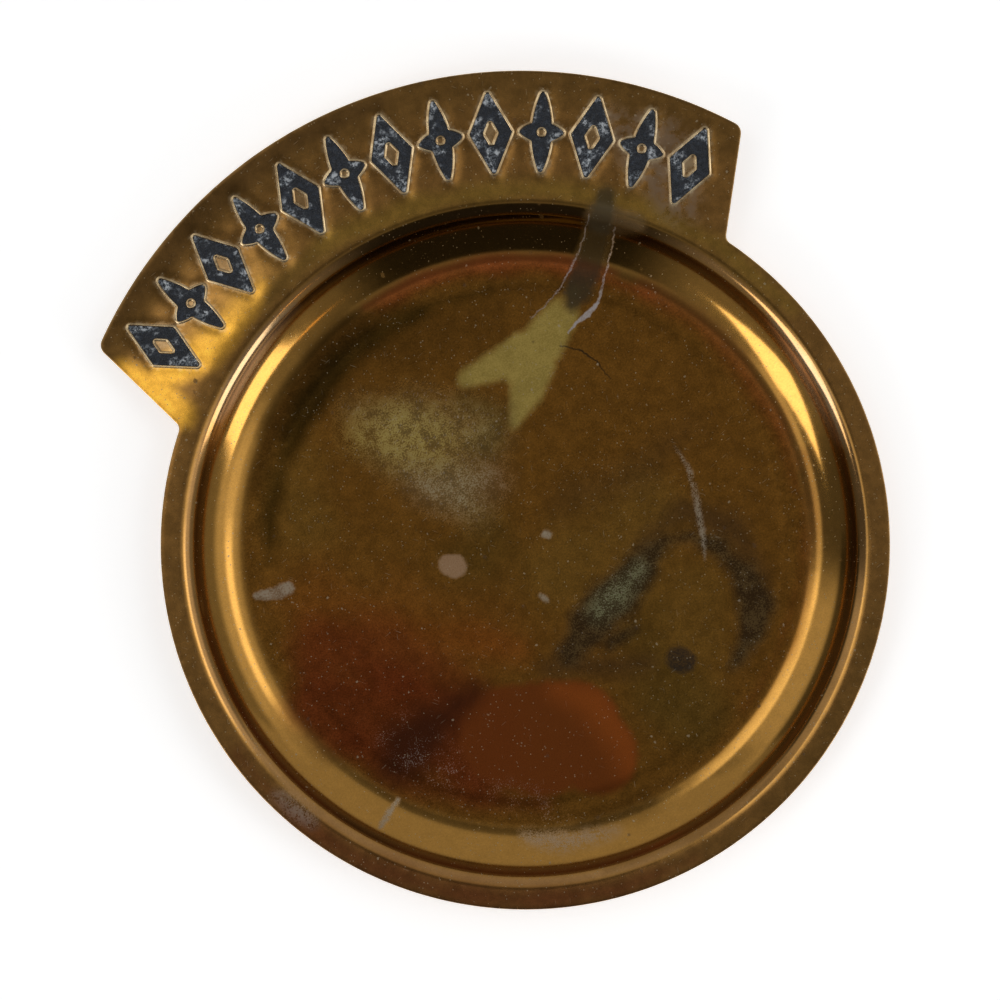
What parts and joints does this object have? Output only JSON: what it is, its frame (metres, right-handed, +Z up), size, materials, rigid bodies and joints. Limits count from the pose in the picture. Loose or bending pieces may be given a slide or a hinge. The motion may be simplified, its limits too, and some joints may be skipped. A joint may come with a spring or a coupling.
{
  "type": "coin tray",
  "caption": "Round pressed-brass dish for loose coins, with a flat rim and a fanned banner of sunk, dark-enamelled ornaments.",
  "frame": {"origin": "centre of the round dish, on the surface that its foot ring stands on", "axes": "+Z up out of the dish; +Y from the dish's centre through the middle of the banner; +X to the right of someone who looks along +Y"},
  "size_m": [0.127, 0.1462, 0.0075],
  "materials": {
    "brass": "aged, lacquered and stained brass with bright wear on its curves",
    "enamel": "worn blue-black enamel, half gloss"
  },
  "bodies": {
    "root": {"tray": "brass", "enamel_01_lozenge": "enamel", "enamel_02_flower": "enamel", "enamel_03_lozenge": "enamel", "enamel_04_flower": "enamel", "enamel_05_lozenge": "enamel", "enamel_06_flower": "enamel", "enamel_07_lozenge": "enamel", "enamel_08_flower": "enamel", "enamel_09_lozenge": "enamel", "enamel_10_flower": "enamel", "enamel_11_lozenge": "enamel", "enamel_12_flower": "enamel", "enamel_13_lozenge": "enamel"}
  },
  "joints": []
}
